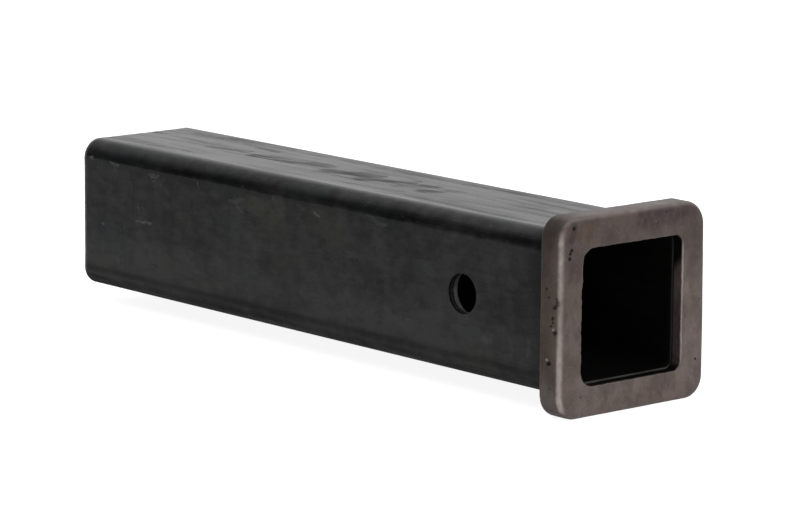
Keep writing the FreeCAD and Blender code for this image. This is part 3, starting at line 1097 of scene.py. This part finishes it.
        # Painted light: the lower side, more towards the mouth, and the top face.
        belly = smoothstep(-up, 2.0, 13.0) * smoothstep(up, -0.5 - centre, 1.8 - centre)
        belly = np.maximum(belly * (0.85 + 0.45 * by_mouth), 0.5 * by_mouth * smoothstep(below, 0.5, 4.0))
        flank = np.maximum(belly * (1 + 0.15 * by_mouth), 0.30 * by_mouth) * (np.abs(across) > centre)
        ledge = 0.8 + 0.3 * smoothstep(np.abs(across), centre - 3.0, centre - 1.0)
        painted_light = np.where((up > centre) & (np.abs(across) < centre + 3.0), ledge, flank)
        paint(self.piece, "painted_light", painted_light * outside)
        paint(self.piece, "dull", smoothstep(tilt, 4.0, 30.0) * round_corner * low + low * (np.abs(across) <= centre))
        # Painted shade on the tube's front end inside the mouth, less on its floor and far wall, and on each pin hole's
        # wall towards its outer rim.
        at_front = points[:, 0] > self.front - 1.0
        floor_of_mouth = smoothstep(-up, self.bore_half - 1.5, self.bore_half)
        far_wall = smoothstep(across, self.bore_half - 1.5, self.bore_half)
        recess_shade = np.where(at_front, 1.0 - np.maximum(0.6 * floor_of_mouth, 0.16 * far_wall), 0.0)
        in_hole = 1.0 - 0.30 * np.exp(-(((depth - 1.5) / 0.4) ** 2)) - smoothstep(depth, 2.5, 3.0)
        paint(self.piece, "recess_shade", np.where(depth > 0, in_hole, recess_shade))

    def _dress(self, region: np.ndarray) -> None:
        """Give the tube its finishes and its place in the frame.

        Args:
            region: The finish of each face.
        """
        piece = self.piece
        finishes = {
            TubeSurface.OUTSIDE: MillScale(
                bright_marks=self.bright_marks,
                dark_marks=self.dark_marks,
                dark_rubs=self.dark_rubs,
                olive_stains=self.olive_stains,
                teal_stains=self.teal_stains,
            ),
            TubeSurface.BORE: ShadedBoreScale(),
            TubeSurface.SAWN: CutSteel(
                "sawn_steel", (0.030, 0.029, 0.028), (0.11, 0.108, 0.104), (0.003, 0.003, 0.003), (4.0, 9.0, 0.22), 0.1
            ),
            TubeSurface.HOLE: CutSteel(
                "punched_steel", (0.080, 0.080, 0.078), (0.17, 0.168, 0.164), (0.0012,) * 3, (9.0, 9.0, 0.5), 0.1
            ),
        }
        for surface in TubeSurface:
            piece.data.materials.append(finishes[surface].build())
        piece.data.polygons.foreach_set("material_index", region.astype(np.int32))
        piece.data.set_sharp_from_angle(angle=math.radians(50))
        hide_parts("receiver_tube")
        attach(piece, BODY)


# ---- the collar


@dataclass(frozen=True)
class Pit:
    """A pit in the forged skin: its middle, radius and depth, and the nib of steel beside it."""

    middle: tuple[float, float, float]
    radius: float
    depth: float
    nib: float = 0.0


@dataclass
class ForgedCollar:
    """The forged collar: a lip round the mouth, and behind it a socket that takes the tube's end.

    The corners' extra radii go round from the top on the far side: top far, top near, bottom near and
    bottom far.
    """

    half: float = 39.0
    corner: float = 8.4
    offset: float = 0.9
    depth: float = 11.5
    mouth_half: float = 26.6
    mouth_corner: float = 3.8
    lip: float = 5.0
    socket_half: float = 31.9
    socket_corner: float = 8.45
    front_round: float = 2.6
    back_round: float = 0.8
    mouth_round: float = 0.75
    shoulder_round: float = 0.6
    extra_corners: tuple[float, float, float, float] = (1.2, 0.0, 1.4, 0.4)
    extra_mouth_corners: tuple[float, float, float, float] = (0.4, 2.4, 2.4, 0.0)
    near_side_inset: float = 0.2
    far_side_inset: float = 0.95
    per_flat: int = 150
    per_corner: int = 34
    pits: tuple[Pit, ...] = (
        Pit((-1.9, -37.9, 6.8), 1.75, 0.70),
        Pit((-3.6, -37.9, 5.4), 1.50, 0.60),
        Pit((-2.5, -37.9, 8.6), 0.90, 0.35),
        Pit((-4.4, -37.9, 1.0), 1.10, 0.45),
        Pit((-4.2, -37.9, -0.8), 0.95, 0.40),
        Pit((-3.2, -37.9, -4.6), 1.75, 0.70, 0.95),
        Pit((-5.2, -37.9, -2.2), 0.80, 0.30),
        Pit((-6.4, -37.9, -16.6), 1.70, 0.70, 1.05),
        Pit((-5.2, -37.9, -26.1), 0.80, 0.30),
        Pit((-8.0, -37.9, 12.0), 0.90, 0.30),
        Pit((-6.8, -37.9, 8.6), 0.70, 0.30),
        Pit((0.0, -32.6, 27.1), 1.40, 0.40),
        Pit((0.0, -33.4, 25.8), 1.00, 0.30),
        Pit((0.0, -33.8, 23.8), 1.15, 0.35),
        Pit((0.0, -31.4, 35.2), 1.50, 0.50),
        Pit((0.0, 4.4, 34.0), 0.55, 0.15, 0.4),
        Pit((0.0, 12.0, 32.8), 0.60, 0.15, 0.4),
        Pit((0.0, 34.9, -23.4), 0.80, 0.30),
    )
    small_pits: int = 70
    seed: int = 11
    tan_stains: tuple[Mark, ...] = (
        Mark((0.0, -28.0, 33.5), (0.0, -21.0, 31.0), 5.0, 0.9),
        Mark((0.0, 5.0, -33.5), (0.0, 12.0, -34.0), 4.0, 0.5),
        Mark((-6.0, -38.0, 32.0), (-6.0, -38.0, 24.0), 4.5, 0.6),
    )
    plum_stains: tuple[Mark, ...] = (
        Mark((0.0, 6.0, 35.0), (0.0, 26.0, 35.0), 6.5, 0.95),
        Mark((0.0, 32.0, 34.0), (0.0, 34.0, 18.0), 5.5, 0.5),
        Mark((0.0, -31.0, 16.0), (0.0, -31.0, 30.0), 4.5, 0.6),
    )
    # Patches darkened near the collar's top; the last two darken the face's top edge as painted shade.
    dark_patches: tuple[Mark, ...] = (
        Mark((0.0, -31.2, 36.4), (0.0, -32.6, 31.0), 2.6, 0.42),
        Mark((-7.5, -35.0, 37.0), (-7.5, -38.0, 30.0), 6.0, 0.42),
        Mark((-8.0, -34.0, 38.5), (-5.0, -27.0, 39.0), 5.0, 0.3),
        Mark((0.0, 4.0, 36.5), (0.0, 28.0, 36.5), 7.0, 0.14),
        Mark((0.0, -30.0, 34.0), (0.0, 0.0, 35.0), 6.0, 0.10),
    )
    piece: bpy.types.Object | None = field(default=None, init=False)

    def build(self) -> bpy.types.Object:
        """Build the collar and dress it.

        Returns:
            The piece.
        """
        stations = Stations.spread(self.per_flat, self.per_corner)
        outlines = self._section()
        outer_extra, mouth_extra = np.array(self.extra_corners), np.array(self.extra_mouth_corners)
        points = np.vstack([
            stations.ring(line.half, line.corner, line.along, outer_extra * line.skin + mouth_extra * line.mouth)
            for line in outlines
        ])
        skin = np.repeat([line.skin for line in outlines], stations.count)
        wear_and_highlight = np.repeat([line.wear_and_highlight for line in outlines], stations.count)
        self._set_aside(points, skin)
        self.piece = make_piece("forged_collar", points, loft_faces(len(outlines), stations.count))
        pit, nib = self._weather(points, skin)
        self._paint(points, skin, wear_and_highlight, pit, nib)
        self._dress()
        return self.piece

    def _section(self) -> list[Outline]:
        """Draw the collar's wall, round from the mouth's front edge.

        Returns:
            The outlines.
        """
        mouth, rim = self.mouth_half, self.mouth_round
        front, back = self.front_round, self.back_round
        side_end = -self.depth + back
        pen = Pen(Outline(mouth + rim, self.mouth_corner + rim, 0.0, 0.0, 1.0))
        pen.run(Outline(self.half - front, self.corner - front, 0.0), 20)
        # The front edge is painted bright round its turn: bared steel and a painted highlight.
        pen.turn(front, -front, 12, True, 1.0, 0.6)
        middle = -front + (side_end + front) / 2
        pen.run(Outline(self.half, self.corner, middle), 8)
        pen.run(Outline(self.half, self.corner, side_end), 8)
        pen.turn(-back, -back, 4, False, 0.2, 0.5)
        pen.run(Outline(self.socket_half, self.socket_corner, -self.depth, 0.0), 10)
        pen.run(Outline(self.socket_half, self.socket_corner, -self.lip, 0.0), 6)
        shoulder = self.shoulder_round
        pen.run(Outline(mouth + shoulder, self.mouth_corner + shoulder, -self.lip, 0.0, 1.0), 5)
        pen.turn(-shoulder, shoulder, 4, True, 0.0, 0.5)
        pen.run(Outline(mouth, self.mouth_corner, -rim, 0.0, 1.0), 8)
        # The mouth's rim is painted bright: bared steel and a painted highlight.
        pen.turn(rim, rim, 5, False, 0.8, 0.5)
        return pen.outlines[:-1]

    def _set_aside(self, points: np.ndarray, skin: np.ndarray) -> None:
        """Move the forging's outside off the tube's axis and taper its far side, as it came out.

        Args:
            points: The collar's corners, which are moved.
            skin: 1 where they are on the outer skin, easing to 0 at the mouth and the socket.
        """
        across, up = points[:, 1], points[:, 2]
        lean = np.clip(self.far_side_inset - 1.6 * (self.half - up) / (2 * self.half), 0, None)
        squeeze = np.where(across > 0, lean, self.near_side_inset) / self.half
        points[:, 1] = across * (1 - squeeze * skin) + self.offset * skin

    def _weather(self, points: np.ndarray, skin: np.ndarray) -> tuple[np.ndarray, np.ndarray]:
        """Roughen the forged skin, sink its pits and notch the mouth's edge.

        Args:
            points: The collar's corners.
            skin: 1 where they are on the outer skin.

        Returns:
            How deep in a pit each corner is, and how much it is on a nib, from 0 to 1.
        """
        normals = outward_normals(self.piece)
        forged = np.maximum(skin, (points[:, 0] > -0.01) * 1.0)
        heave = unevenness(points, (19.0, 17.0, 17.0), 5.0, 2)
        lumps = unevenness(points, (5.0, 5.0, 6.0), 6.0, 2)
        peel = unevenness(points, (1.5, 1.5, 1.5), 7.0, 2)
        sunk = np.clip(0.07 + 0.05 * heave + 0.045 * lumps + 0.02 * peel, 0.0, None)
        sunk = sunk * smoothstep(forged, 0.02, 0.25)

        pit, nib = np.zeros(len(points)), np.zeros(len(points))
        chance = np.random.default_rng(self.seed)
        pits = list(self.pits)
        for number in chance.choice(np.flatnonzero(skin > 0.15), self.small_pits, replace=False):
            radius = float(chance.uniform(0.4, 0.9))
            pits.append(Pit(tuple(points[number]), radius, radius * float(chance.uniform(0.08, 0.24))))
        ragged = np.column_stack([unevenness(points, (1.7, 1.7, 1.7), 9.1 + axis, 2) for axis in range(3)]) * 0.55
        for hollow in pits:
            middle = np.array(hollow.middle)
            away = np.linalg.norm(points + ragged - middle, axis=1) / hollow.radius
            bowl = np.clip(1 - away * away, 0, None) ** 1.5
            sunk += bowl * hollow.depth
            pit = np.maximum(pit, bowl * min(1.0, hollow.depth / 0.3))
            if hollow.nib:
                beside = middle + np.array([-0.45, -0.2, 0.70]) * hollow.radius
                away = np.linalg.norm(points - beside, axis=1) / hollow.nib
                bead = np.clip(1 - away * away, 0, None) ** 1.5
                sunk -= bead * 0.45
                nib = np.maximum(nib, bead)

        moved = points - normals * np.clip(sunk, -0.05, None)[:, None]
        place_points(self.piece, self._notch_mouth(points, moved))
        return pit, nib

    def _notch_mouth(self, points: np.ndarray, moved: np.ndarray) -> np.ndarray:
        """Give the mouth's edge its burr and its nicks.

        Args:
            points: The collar's corners as drawn.
            moved: The corners so far.

        Returns:
            The corners moved.
        """
        reach = np.maximum(np.abs(points[:, 1]), np.abs(points[:, 2]))
        at_edge = smoothstep(-reach, -self.mouth_half - 1.6, -self.mouth_half - 0.4)
        at_edge *= smoothstep(points[:, 0], -4.0, -1.2) * (reach < self.mouth_half + 2.0)
        ragged = unevenness(points, (4.0, 2.2, 2.2), 8.0, 3)
        near_side = smoothstep(-points[:, 1], self.mouth_half - 1.5, self.mouth_half - 0.3)
        burr = near_side * smoothstep(points[:, 2], 11.0, 13.5) * smoothstep(-points[:, 2], -25.5, -18.0)
        towards = np.zeros_like(points)
        towards[:, 1:] = -points[:, 1:] / np.maximum(reach, 1.0)[:, None]
        moved = moved + towards * (at_edge * ragged * (0.14 + 0.14 * near_side))[:, None]
        moved[:, 1] += at_edge * burr * 0.45
        return moved

    def _paint(
        self, points: np.ndarray, skin: np.ndarray, wear_and_highlight: np.ndarray, pit: np.ndarray, nib: np.ndarray
    ) -> None:
        """Store where the collar's edges are bared and have painted highlights, where it has painted light, where it is
        pitted, and where its lip has painted shade.

        Args:
            points: The collar's corners as drawn.
            skin: 1 where they are on the outer skin.
            wear_and_highlight: How bright each corner is painted along the section, for bared steel and a painted
                highlight.
            pit: How deep in a pit each corner is.
            nib: How much it is on a nib.
        """
        across, up = points[:, 1], points[:, 2]
        # Bared edges, with painted highlights on the near side's front edge, on the top and on the mouth's far lip, and
        # painted light on the top and on the near side's lower part.
        near_side = smoothstep(-across, 33.5, 36.5) * smoothstep(-np.abs(up + 2.5), -38.5, -32.0)
        near_side = near_side * (0.72 + 0.30 * smoothstep(np.abs(up), 6.0, 22.0) + 0.45 * smoothstep(-up, -2.0, 18.0))
        top = smoothstep(up, 37.4, 38.8) * (0.35 + 0.65 * smoothstep(across, -34.0, -12.0))
        skin_wear_and_highlight = 0.10 + 0.90 * near_side + 0.12 * smoothstep(up, 35.0, 37.0)
        waver = 1 + 0.25 * unevenness(points, (8.0, 8.0, 5.0), 8.8, 3)
        far_lip = smoothstep(across, 25.8, 26.5) * smoothstep(-np.abs(up), -25.5, -21.0)
        lip_wear_and_highlight = 0.12 + 0.88 * far_lip
        on_flank = smoothstep(-across, 36.2, 37.2) * skin
        edges = np.maximum(wear_and_highlight * np.where(skin > 0.5, skin_wear_and_highlight, lip_wear_and_highlight), 0.34 * top * skin)
        edges = np.maximum(edges, 0.24 * on_flank * smoothstep(-up, 17.0, 31.0))
        paint(self.piece, "wear_and_highlight", np.clip(edges * waver, 0, 1))
        # Pits are painted dark as shade, and nibs are painted bright as a glint.
        paint(self.piece, "pit", pit)
        paint(self.piece, "nib", nib)
        # A warmer, less blue tint on the near side, also painted a little lighter.
        paint(self.piece, "flank", on_flank * smoothstep(-up, -30.0, -18.0) * (0.8 - 0.6 * smoothstep(-up, 16.0, 34.0)))
        # Painted light: lighter lower down, towards the far side, and on the near side's lower part.
        low = smoothstep(-up, 8.0, 28.0)
        far = smoothstep(across, 10.0, 28.0) * smoothstep(-up, -27.0, 0.0)
        mid = 0.4 * smoothstep(-up, -28.0, 6.0)
        patchy = 1 + 0.4 * unevenness(points, (16.0, 16.0, 16.0), 9.4, 3)
        painted_light = np.maximum(np.maximum(low, far), mid) * patchy + 0.12 + 0.5 * on_flank * smoothstep(-up, 16.0, 30.0)
        paint(self.piece, "painted_light", np.clip(painted_light, 0, 1.6))
        # Painted shade in the lip: its upper wall, its floor and its near wall, and some everywhere in it, more lower
        # down.
        in_lip = (points[:, 0] < -0.3) & (skin < 0.5)
        upper = smoothstep(up - 0.9 * (points[:, 0] + 2.5), 11.0, 18.0)
        lower = smoothstep(-up, 22.0, 26.0)
        near = smoothstep(-across, 22.0, 26.0)
        least = 0.08 + 0.26 * smoothstep(-up, 0.0, 18.0)
        paint(self.piece, "recess_shade", in_lip * np.maximum(np.maximum(upper, lower), np.maximum(near, least)))

    def _dress(self) -> None:
        """Give the collar its finish and its place in the frame."""
        finish = ForgedScale(
            tan_stains=self.tan_stains, plum_stains=self.plum_stains, dark_patches=self.dark_patches
        )
        self.piece.data.materials.append(finish.build())
        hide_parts("collar")
        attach(self.piece, BODY)


# ---- camera, floor and light


def camera_axes(azimuth: float, elevation: float, roll: float) -> tuple[Vector, Vector, Vector]:
    """Work out how a camera stands.

    Args:
        azimuth: Degrees round the object, 0 looking along +Y and 90 along -X.
        elevation: Degrees above the horizon.
        roll: Degrees that the camera leans to its left.

    Returns:
        The directions to the picture's right, its top and back from the subject.
    """
    turn, rise, lean = (math.radians(angle) for angle in (azimuth, elevation, roll))
    back = Vector((math.sin(turn) * math.cos(rise), -math.cos(turn) * math.cos(rise), math.sin(rise)))
    level_right = Vector((math.cos(turn), math.sin(turn), 0))
    level_up = back.cross(level_right)
    right = level_right * math.cos(lean) + level_up * math.sin(lean)
    up = level_up * math.cos(lean) - level_right * math.sin(lean)
    return right, up, back


@dataclass
class Portrait:
    """The camera, which stands where the photograph's did."""

    azimuth: float = 48.612
    elevation: float = 10.598
    roll: float = 0.517
    distance: float = 1545.6
    focal_pixels: float = 4049.05
    mouth_pixel: tuple[float, float] = (632.02, 310.10)
    sensor: float = 36.0

    def build(self) -> bpy.types.Object:
        """Set up the camera and make it the scene's.

        Returns:
            The camera.
        """
        right, up, back = camera_axes(self.azimuth, self.elevation, self.roll)
        centre = ((PHOTO_WIDTH - 1) / 2, (PHOTO_HEIGHT - 1) / 2)
        aside = (self.mouth_pixel[0] - centre[0]) / self.focal_pixels
        below = (self.mouth_pixel[1] - centre[1]) / self.focal_pixels
        place = (back - right * aside + up * below) * self.distance * MM

        data = bpy.data.cameras.new("portrait")
        data.sensor_fit = "HORIZONTAL"
        data.sensor_width = self.sensor
        data.lens = self.focal_pixels / PHOTO_WIDTH * self.sensor
        data.clip_start, data.clip_end = 0.05, 50.0
        camera = bpy.data.objects.new("portrait", data)
        camera.matrix_world = Matrix.Translation(place) @ Matrix((right, up, back)).transposed().to_4x4()
        bpy.context.scene.collection.objects.link(camera)
        bpy.context.scene.camera = camera
        return camera


@dataclass
class Studio:
    """A white sweep under and behind the object, soft light above it, and a dim room round them."""

    floor_half: float = 4.0
    floor_white: float = 0.6
    floor_glow: float = 0.9
    floor_mirrored_glow: float = 0.45
    sweep: float = 0.8
    room: float = 0.024
    away: tuple[float, float, float] = (-0.75, 0.66, 0.0)

    def build(self, rest_height: float) -> None:
        """Lay the floor, hang the backdrop and the lamps.

        Args:
            rest_height: The floor's height, in metres.
        """
        self._floor(rest_height)
        self._surround()
        self._softbox("mouth_side", (1.45, -0.12, 0.42), (0.0, 0.0, 0.0), 0.9, 15.0)

    def _seen(self, tree: bpy.types.NodeTree, kinds: tuple[str, ...]) -> Socket:
        """Find whether a ray is of one of some kinds.

        Args:
            tree: Where to add the nodes.
            kinds: The names of the kinds.

        Returns:
            1 for such a ray, else 0.
        """
        rays = tree.nodes.new("ShaderNodeLightPath")
        total = rays.outputs[kinds[0]]
        for kind in kinds[1:]:
            either = tree.nodes.new("ShaderNodeMath")
            either.operation = "MAXIMUM"
            tree.links.new(total, either.inputs[0])
            tree.links.new(rays.outputs[kind], either.inputs[1])
            total = either.outputs[0]
        return total

    def _floor(self, height: float) -> None:
        """Lay a floor that is white to the camera and in reflections, and keeps the shadow."""
        reach = self.floor_half
        mesh = bpy.data.meshes.new("floor")
        corners = [(-reach, -reach, height), (reach, -reach, height), (reach, reach, height), (-reach, reach, height)]
        mesh.from_pydata(corners, [], [(0, 1, 2, 3)])
        floor = bpy.data.objects.new("floor", mesh)
        bpy.context.scene.collection.objects.link(floor)
        material = bpy.data.materials.new("floor_white")
        material.use_nodes = True
        tree = material.node_tree
        tree.nodes.clear()
        out = tree.nodes.new("ShaderNodeOutputMaterial")
        add = tree.nodes.new("ShaderNodeAddShader")
        diffuse = tree.nodes.new("ShaderNodeBsdfDiffuse")
        diffuse.inputs["Color"].default_value = (self.floor_white, self.floor_white, self.floor_white, 1)
        glow = tree.nodes.new("ShaderNodeEmission")
        levels = (
            (self.floor_glow, ("Is Camera Ray",)),
            (self.floor_mirrored_glow, ("Is Glossy Ray", "Is Transmission Ray")),
        )
        scales = []
        for level, kinds in levels:
            scale = tree.nodes.new("ShaderNodeMath")
            scale.operation = "MULTIPLY"
            scale.inputs[1].default_value = level
            tree.links.new(self._seen(tree, kinds), scale.inputs[0])
            scales.append(scale)
        strength = tree.nodes.new("ShaderNodeMath")
        strength.operation = "ADD"
        tree.links.new(scales[0].outputs[0], strength.inputs[0])
        tree.links.new(scales[1].outputs[0], strength.inputs[1])
        tree.links.new(strength.outputs[0], glow.inputs["Strength"])
        tree.links.new(diffuse.outputs[0], add.inputs[0])
        tree.links.new(glow.outputs[0], add.inputs[1])
        tree.links.new(add.outputs[0], out.inputs["Surface"])
        mesh.materials.append(material)

    def _surround(self) -> None:
        """Hang a white sweep behind the object and above it, in a dim room."""
        world = bpy.data.worlds.new("surround")
        world.use_nodes = True
        bpy.context.scene.world = world
        tree = world.node_tree
        tree.nodes.clear()
        out = tree.nodes.new("ShaderNodeOutputWorld")
        back = tree.nodes.new("ShaderNodeBackground")
        back.inputs["Color"].default_value = (1, 1, 1, 1)
        towards = tree.nodes.new("ShaderNodeTexCoord").outputs["Generated"]

        def ease(value: Socket, low: float, high: float, start: float, end: float) -> Socket:
            """Ease a value from one range to another."""
            curve = tree.nodes.new("ShaderNodeMapRange")
            curve.interpolation_type = "SMOOTHSTEP"
            tree.links.new(value, curve.inputs["Value"])
            for name, number in (("From Min", low), ("From Max", high), ("To Min", start), ("To Max", end)):
                curve.inputs[name].default_value = number
            return curve.outputs[0]

        def larger(first: Socket, second: Socket) -> Socket:
            """Take the larger of two values."""
            pick = tree.nodes.new("ShaderNodeMath")
            pick.operation = "MAXIMUM"
            tree.links.new(first, pick.inputs[0])
            tree.links.new(second, pick.inputs[1])
            return pick.outputs[0]

        facing = tree.nodes.new("ShaderNodeVectorMath")
        facing.operation = "DOT_PRODUCT"
        tree.links.new(towards, facing.inputs[0])
        facing.inputs[1].default_value = self.away
        split = tree.nodes.new("ShaderNodeSeparateXYZ")
        tree.links.new(towards, split.inputs[0])
        behind = ease(facing.outputs["Value"], 0.15, 0.5, self.room, self.sweep)
        above = ease(split.outputs["Z"], 0.5, 0.72, self.room, self.sweep)
        level = larger(larger(behind, above), self._seen(tree, ("Is Camera Ray", "Is Transmission Ray")))
        tree.links.new(level, back.inputs["Strength"])
        tree.links.new(back.outputs[0], out.inputs["Surface"])

    def _softbox(self, name: str, place: tuple, aim: tuple, size: float, power: float) -> None:
        """Hang one square softbox and turn it to its aim."""
        data = bpy.data.lights.new(name, "AREA")
        data.shape = "SQUARE"
        data.size = size
        data.energy = power
        lamp = bpy.data.objects.new(name, data)
        lamp.visible_glossy = False
        lamp.location = place
        lamp.rotation_mode = "QUATERNION"
        lamp.rotation_quaternion = (Vector(aim) - Vector(place)).to_track_quat("-Z", "Y")
        bpy.context.scene.collection.objects.link(lamp)


def main() -> None:
    """Build the object and its studio, and report each piece."""
    logging.basicConfig(level=logging.INFO, format="%(name)s: %(message)s")
    bpy.context.scene.view_settings.view_transform = "Standard"
    for part in (ReceiverTube(), ForgedCollar()):
        piece = part.build()
        triangles = sum(len(face.vertices) - 2 for face in piece.data.polygons)
        log.info("%s: %d triangles", piece.name, triangles)
    Studio().build(CAD_BOX[0].z)
    Portrait().build()


if __name__ == "__main__":
    main()
